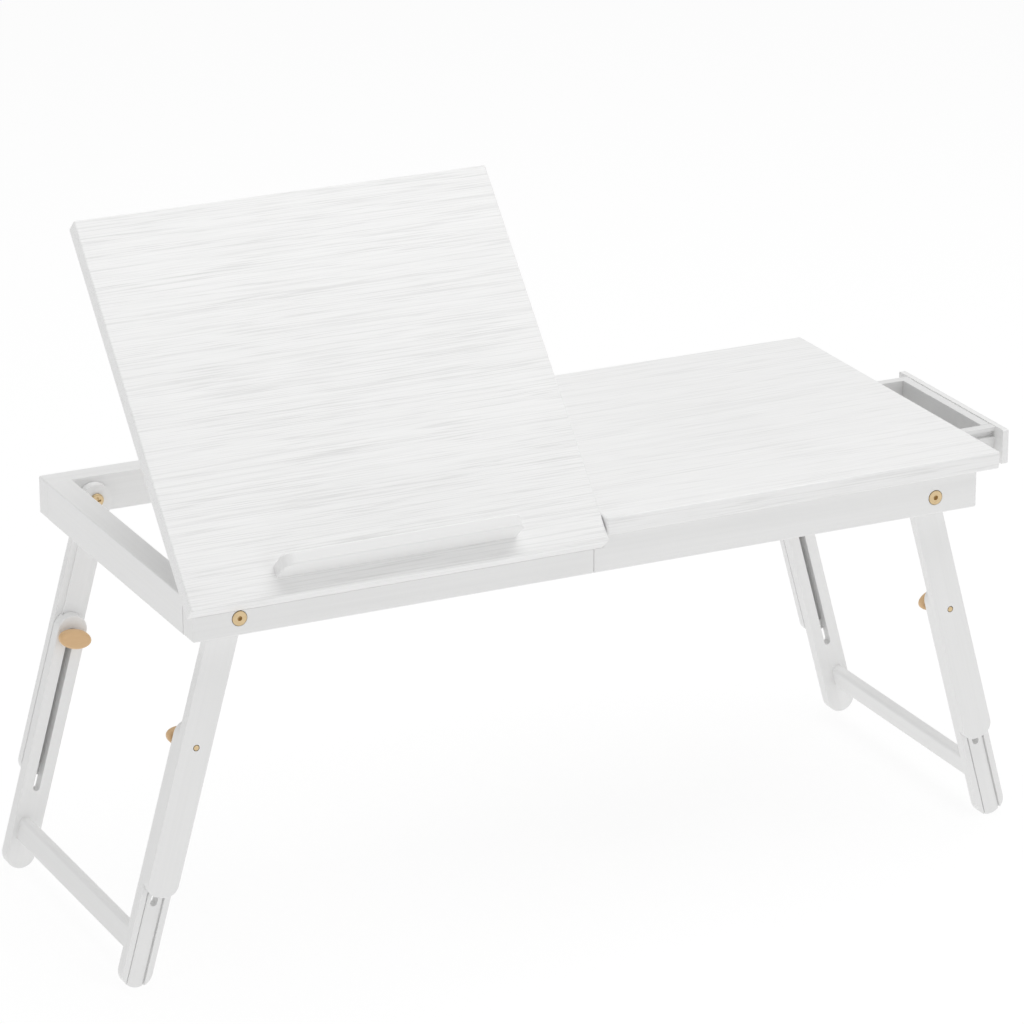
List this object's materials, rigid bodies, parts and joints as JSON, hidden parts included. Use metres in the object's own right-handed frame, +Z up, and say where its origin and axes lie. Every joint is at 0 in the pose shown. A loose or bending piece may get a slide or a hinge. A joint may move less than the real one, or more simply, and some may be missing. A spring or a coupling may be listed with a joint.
{
  "type": "laptop bed table",
  "caption": "White folding bed table with a tilting top on a hinged prop, a fixed top over a side drawer, and splayed two-part legs that slide and clamp to set the height.",
  "frame": {"origin": "middle of the bottom of the bounding box, on the floor the feet stand on", "axes": "+X along the table towards the drawer end, +Y from front to back, +Z up"},
  "size_m": [0.8359, 0.3534, 0.5803],
  "materials": {
    "white_wood": "satin white lacquer over fine grain",
    "brass": "satin brass",
    "steel": "zinc plated",
    "beech": "bare turned dowel",
    "tan_knob": "satin tan plastic"
  },
  "bodies": {
    "table_frame": {"front_rail_left": "white_wood", "front_rail_right": "white_wood", "back_rail": "white_wood", "left_end_rail": "white_wood", "right_end_rail": "white_wood", "centre_divider": "white_wood", "right_top": "white_wood", "runner_front": "white_wood", "runner_back": "white_wood", "prop_slat": "white_wood", "prop_pivot_blocks": "white_wood", "prop_pivot_rod": "beech", "hinge_rail_leaves": "steel", "hinge_pins": "steel", "hinge_rail_screws": "steel", "pivot_barrels": "brass", "pivot_screws": "brass"},
    "tilting_top": {"tilt_top": "white_wood", "book_stop": "white_wood", "hinge_top_leaves": "steel", "hinge_top_screws": "steel", "prop_strips": "white_wood"},
    "prop": {"prop_arm_left": "white_wood", "prop_arm_right": "white_wood", "prop_crossbar": "beech"},
    "drawer": {"drawer_front": "white_wood", "drawer_box_front": "white_wood", "drawer_side_front": "white_wood", "drawer_side_back": "white_wood", "drawer_back": "white_wood", "drawer_bottom": "white_wood"},
    "left_legs": {"upper_leg_front_left": "white_wood", "upper_leg_back_left": "white_wood", "clamp_bolts_left": "brass", "clamp_washers_left": "steel"},
    "left_feet": {"lower_leg_front_left": "white_wood", "lower_leg_back_left": "white_wood", "stretcher_left": "white_wood"},
    "right_legs": {"upper_leg_front_right": "white_wood", "upper_leg_back_right": "white_wood", "clamp_bolts_right": "brass", "clamp_washers_right": "steel"},
    "right_feet": {"lower_leg_front_right": "white_wood", "lower_leg_back_right": "white_wood", "stretcher_right": "white_wood"},
    "front_left_knob": {"knob_front_left": "tan_knob"},
    "back_left_knob": {"knob_back_left": "tan_knob"},
    "front_right_knob": {"knob_front_right": "tan_knob"},
    "back_right_knob": {"knob_back_right": "tan_knob"}
  },
  "joints": [
    {"name": "top_tilt", "type": "hinge", "parent": "table_frame", "child": "tilting_top", "pos_m": [-0.1881, -0.14733, 0.32997], "axis": [-1, 0, 0], "range_deg": [0, 48]},
    {"name": "prop_swing", "type": "hinge", "parent": "table_frame", "child": "prop", "pos_m": [-0.1881, -0.06033, 0.31097], "axis": [-1, 0, 0], "range_deg": [0, 96]},
    {"name": "drawer_slide", "type": "slide", "parent": "table_frame", "child": "drawer", "axis": [-1, 0, 0], "range_m": [-0.1, 0.071]},
    {"name": "left_legs_fold", "type": "hinge", "parent": "table_frame", "child": "left_legs", "pos_m": [-0.3238, 0.00666, 0.31167], "axis": [0, -1, 0], "range_deg": [0, 97]},
    {"name": "left_legs_length", "type": "slide", "parent": "left_legs", "child": "left_feet", "axis": [0.2622, 0, 0.965], "range_m": [0, 0.08]},
    {"name": "right_legs_fold", "type": "hinge", "parent": "table_frame", "child": "right_legs", "pos_m": [0.3011, 0.00666, 0.31167], "axis": [0, 1, 0], "range_deg": [0, 97]},
    {"name": "right_legs_length", "type": "slide", "parent": "right_legs", "child": "right_feet", "axis": [-0.2622, 0, 0.965], "range_m": [0, 0.08]},
    {"name": "front_left_knob_turn", "type": "hinge", "parent": "left_legs", "child": "front_left_knob", "pos_m": [-0.35402, -0.11044, 0.20045], "axis": [0, 1, 0], "continuous": true},
    {"name": "back_left_knob_turn", "type": "hinge", "parent": "left_legs", "child": "back_left_knob", "pos_m": [-0.35402, 0.12377, 0.20045], "axis": [0, -1, 0], "continuous": true},
    {"name": "front_right_knob_turn", "type": "hinge", "parent": "right_legs", "child": "front_right_knob", "pos_m": [0.33132, -0.11044, 0.20045], "axis": [0, 1, 0], "continuous": true},
    {"name": "back_right_knob_turn", "type": "hinge", "parent": "right_legs", "child": "back_right_knob", "pos_m": [0.33132, 0.12377, 0.20045], "axis": [0, -1, 0], "continuous": true}
  ],
  "couplings": [
    {"joint": "prop_swing", "follows": "top_tilt", "ratio": 2}
  ]
}
